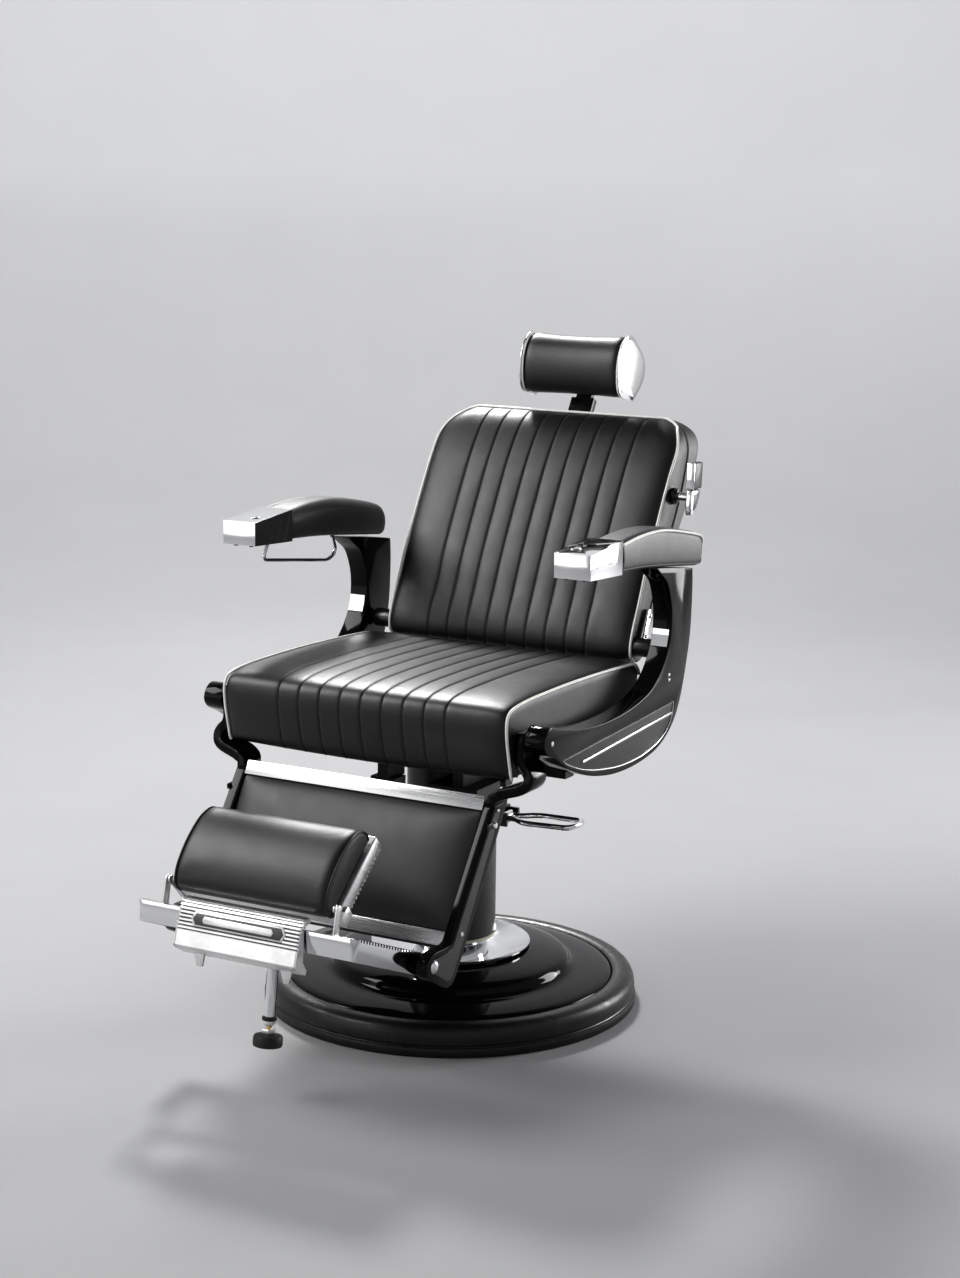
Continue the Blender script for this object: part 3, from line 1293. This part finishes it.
def build_foot_step():
    tray = prism_x("tray", [on_foot(10, 0.4), on_foot(162.6, 0.4), on_foot(162.6, 25.6), on_foot(10, 25.6)],
                   -FOOT_X - 5.6, FOOT_X + 5.6, ALLOY, 3, 3)
    parts = [tray]
    for k in range(18):
        s = 12 + 8.2 * k
        parts.append(prism_x("tread", [on_foot(s, -2.4), on_foot(s + 5, -2.4), on_foot(s + 5, 1),
                                       on_foot(s, 1)],
                             -FOOT_X - 5, FOOT_X + 5, ALLOY, 0.6, 1))
    for sx in (1, -1):
        parts.append(prism_x("corner", [on_foot(8, 0.4), on_foot(34, 0.4), on_foot(34, 22), on_foot(8, 25)],
                             sx * (FOOT_X + 5), sx * (FOOT_X + 13), ALLOY, 1.5, 2))
        parts.append(prism_x("ear", [on_foot(8, 20), on_foot(24, 20), (FOOT_PIVOT[0] + 6, FOOT_PIVOT[1] - 4),
                                     *arc(FOOT_PIVOT, 6.6, 0, 200, 8)], sx * (FOOT_X + 9.6),
                                     sx * (FOOT_X + 12.8),
                             ALLOY, 0.9, 2))
        parts.append(side_box("tie", sx, (FOOT_X + 2, -596, 320), (FOOT_X + 10, -582, 334), ALLOY, 1))
    step = join("step_tray", parts)
    shade(step, 35)
    declare(step, "foot_step", "alloy", "tread_plate")
    outer = flat_path([on_foot(14, 22), on_foot(4, 29), on_foot(1, 42), on_foot(5, 55.5), on_foot(25, 70),
                       on_foot(58, 78.5),
                       on_foot(88, 80), on_foot(118, 76.5), on_foot(142, 66), on_foot(153, 52),
                       on_foot(155, 40),
                       on_foot(150, 30)], 3)
    inner = flat_path([on_foot(17, 26), on_foot(36, 28), on_foot(88, 28), on_foot(136, 28),
                       on_foot(148, 28)], 3)
    half = FOOT_X - 2

    def place(u, x, w):
        sink = side_fall(x, half, 14, 4.5) * math.sin(math.pi * u) ** 0.6
        p = along(inner, u).lerp(sunk_point(outer, u, sink), w)
        bulge = 2.5 * math.sin(math.pi * w) * math.sin(math.pi * u) if at_side(x, half) else 0
        return (x + math.copysign(bulge, x), p.y, p.z)

    def held(u, x, w):
        return w == 0 or u in (0, 1) or (w == 1 and at_side(x, half))

    cushion("step_pad", steps(40), even(half, 34), steps(6), place, held, 5, "foot_step", "foot_pad")
    for side, sx in SIDES:
        line = [place(u, sx * half, 1) for u in steps(60)]
        cord = tube(f"step_welt_{side}", line, 1.9, LEATHER, sides=2)
        declare(cord, "foot_step", "leather")


def build_stand():
    tilt = Matrix.Translation((0, -562, 222)) @ Matrix.Rotation(-0.1395, 4, "X")
    leg = join("stand_tube", [
        lathe("tube", [(0, -103.6), (8.6, -103.6), (9.6, -102), (9.8, -96), (8.8, -94.6), (8.8, -60),
                       (8.8, -14), (9.8, -12),
                       (9.8, -8), (0, -8)], CHROME, 40, frame_matrix=tilt),
        pin_x("eye", (-562, 222), [(0, -11.4), (10, -11.4), (10.8, -10.4), (10.8, 10.4), (10, 11.4),
                                   (0, 11.4)], CHROME, 40)])
    shade(leg, 35)
    declare(leg, "stand", "chrome", "stand_leg")
    ring = lathe("stand_ring", [(9.6, -90), (11.6, -91), (12.2, -93.5), (11.6, -96), (9.6, -97)], RUBBER,
                 32, closed=True,
                 frame_matrix=tilt)
    declare(ring, "stand", "foot_rubber")
    foot = join("stand_foot_pad", [
        lathe("pad", [(0, -138.6), (20, -138.6), (23, -137.4), (23.8, -134), (23.8, -124), (22, -120.4),
                      (16, -118.6),
                      (0, -118)], RUBBER, 48, frame_matrix=tilt),
        lathe("nut", [(0, -118.2), (11, -118.2), (12, -116.6), (12, -111.4), (10.6, -110), (0, -110)],
              ALLOY, 6,
              frame_matrix=tilt, smooth=20),
        lathe("screw", [(0, -111), (4.6, -111), (4.6, -104), (4.6, -74), (0, -74)], BRASS, 20,
              frame_matrix=tilt)])
    shade(foot, 35)
    declare(foot, "stand_pad", "foot_rubber", "stand_foot")


# ---- materials for the CAD nodes that show --------------------------------------------------------------
def dress(material, *names):
    for name in names:
        mesh = nodes[name].data
        mesh.materials.clear()
        mesh.materials.append(material)
        mesh.shade_smooth()
        mesh.set_sharp_from_angle(angle=math.radians(30))


def dress_cad():
    dress(BLACK_SATIN, "base_plate", "turret", "seat_subframe", "pump_bracket")
    dress(BRUSHED, "ram")
    dress(DARK_PLASTIC, "recline_cylinder", "recline_link")
    dress(BOARD, "seat_pan")
    dress(CHROME, "headrest_axle", "column_plate_left", "column_plate_right")


# ---- studio -----------------------------------------------------------------------------------------
CAMERA_AT = (2.10023, -3.68408, 1.47776)
CAMERA_TURN = (29.07, 11.11, 0.70)   # azimuth, downward tilt and roll, in degrees
LENS = 70.08


def add_camera():
    azimuth, tilt, roll = (math.radians(a) for a in CAMERA_TURN)
    back = Vector((math.sin(azimuth) * math.cos(tilt), -math.cos(azimuth) * math.cos(tilt), math.sin(tilt)))
    right = Vector((math.cos(azimuth), math.sin(azimuth), 0))
    up = back.cross(right)
    right, up = (right * math.cos(roll) + up * math.sin(roll), up * math.cos(roll) - right * math.sin(roll))
    data = bpy.data.cameras.new("camera")
    data.lens = LENS
    data.sensor_width = 36
    camera = add_object("camera", data)
    camera.matrix_world = Matrix.Translation(CAMERA_AT) @ Matrix((right, up, back)).transposed().to_4x4()
    bpy.context.scene.camera = camera


def area_light(name, at, toward, size, power):
    data = bpy.data.lights.new(name, "AREA")
    data.shape = "RECTANGLE"
    data.size, data.size_y = size
    data.energy = power
    lamp = add_object(name, data)
    direction = Vector(toward) - Vector(at)
    lamp.matrix_world = Matrix.Translation(at) @ direction.to_track_quat("-Z", "Y").to_matrix().to_4x4()
    lamp.visible_camera = False


WALL_GLOW = 0.22     # the wall of the studio bowl gives the even fill light
WORLD_STRENGTH = 0.14
LIGHTS = (           # name, place and aim in metres, size, watts
    ("key", (-2.1, 2.5, 3.7), (0, 0, 0.5), (0.65, 0.65), 175),
    ("front_high", (-2.3, -1.6, 2.9), (0, 0.2, 0.8), (1.8, 1.8), 92),
    ("right_back", (2.4, 2.9, 1.5), (0, 0, 0.7), (1.2, 1.6), 72),
    ("right_low", (2.5, 3.6, 0.6), (0, 0, 0.7), (1.4, 0.9), 26),
    ("front_left", (-2.4, -3.6, 1.2), (0, 0, 0.6), (3.2, 2.6), 24),
    ("backdrop_glow", (-1.3, 2.4, 3.9), (-2.9, 5.2, 3.6), (4.5, 0.8), 130),
)


def add_studio():
    s = Shader("studio_floor", (0.34, 0.34, 0.345), 0.75, Specular_IOR_Level=0.2)
    s.feed("Base Color", s.ramp(s.noise(3, 3), 0.3, 0.7, (0.335, 0.335, 0.34), (0.345, 0.345, 0.35)))
    height = s.node("SeparateXYZ", Vector=s.coord).outputs["Z"]
    s.set(Emission_Color=(0.97, 0.98, 1, 1))
    s.feed("Emission Strength", s.ramp(height, 0.0, 1.4, 0.0, WALL_GLOW))
    wall = spline([(3.4, 0, 0), (4.2, 0, 0.07), (5.1, 0, 0.42), (5.8, 0, 1.2), (6.2, 0, 2.6),
                   (6.2, 0, 7)], 0.15)
    profile = [(r, 0) for r in (0.02, 0.6, 1.2, 2, 2.8)] + [(p.x, p.z) for p in wall]
    count, n = 96, len(profile)
    verts = []
    faces = []
    for j in range(count):
        a = 2 * math.pi * j / count
        k = (j + 1) % count
        verts += [(r * math.cos(a), r * math.sin(a), z) for r, z in profile]
        faces += [(j * n + i, k * n + i, k * n + i + 1, j * n + i + 1) for i in range(n - 1)]
    faces.append(tuple(j * n for j in range(count)))
    mesh = bpy.data.meshes.new("studio_floor")
    mesh.from_pydata(verts, [], faces)
    mesh.materials.append(s.mat)
    mesh.shade_smooth()
    floor = add_object("studio_floor", mesh)
    world = bpy.data.worlds.new("studio")
    world.use_nodes = True
    sky = world.node_tree.nodes["Background"].inputs
    sky["Color"].default_value = (0.9, 0.93, 1, 1)
    sky["Strength"].default_value = WORLD_STRENGTH
    bpy.context.scene.world = world
    view = bpy.context.scene.view_settings
    view.view_transform = "Standard"
    view.look = "Medium High Contrast"
    for light in LIGHTS:
        area_light(*light)


# ---- build ---------------------------------------------------------------------------------------------
build_base()
build_lift()
build_seat()
build_back()
for side, sx in SIDES:
    build_arm(side, sx)
    build_pad(side, sx)
    build_cap(side, sx)
    build_leg_arm(side, sx)
build_rail()
build_back_fittings()
build_headrest()
build_leg_panel()
build_foot_frame()
build_nose()
build_foot_step()
build_stand()
dress_cad()
add_camera()
add_studio()
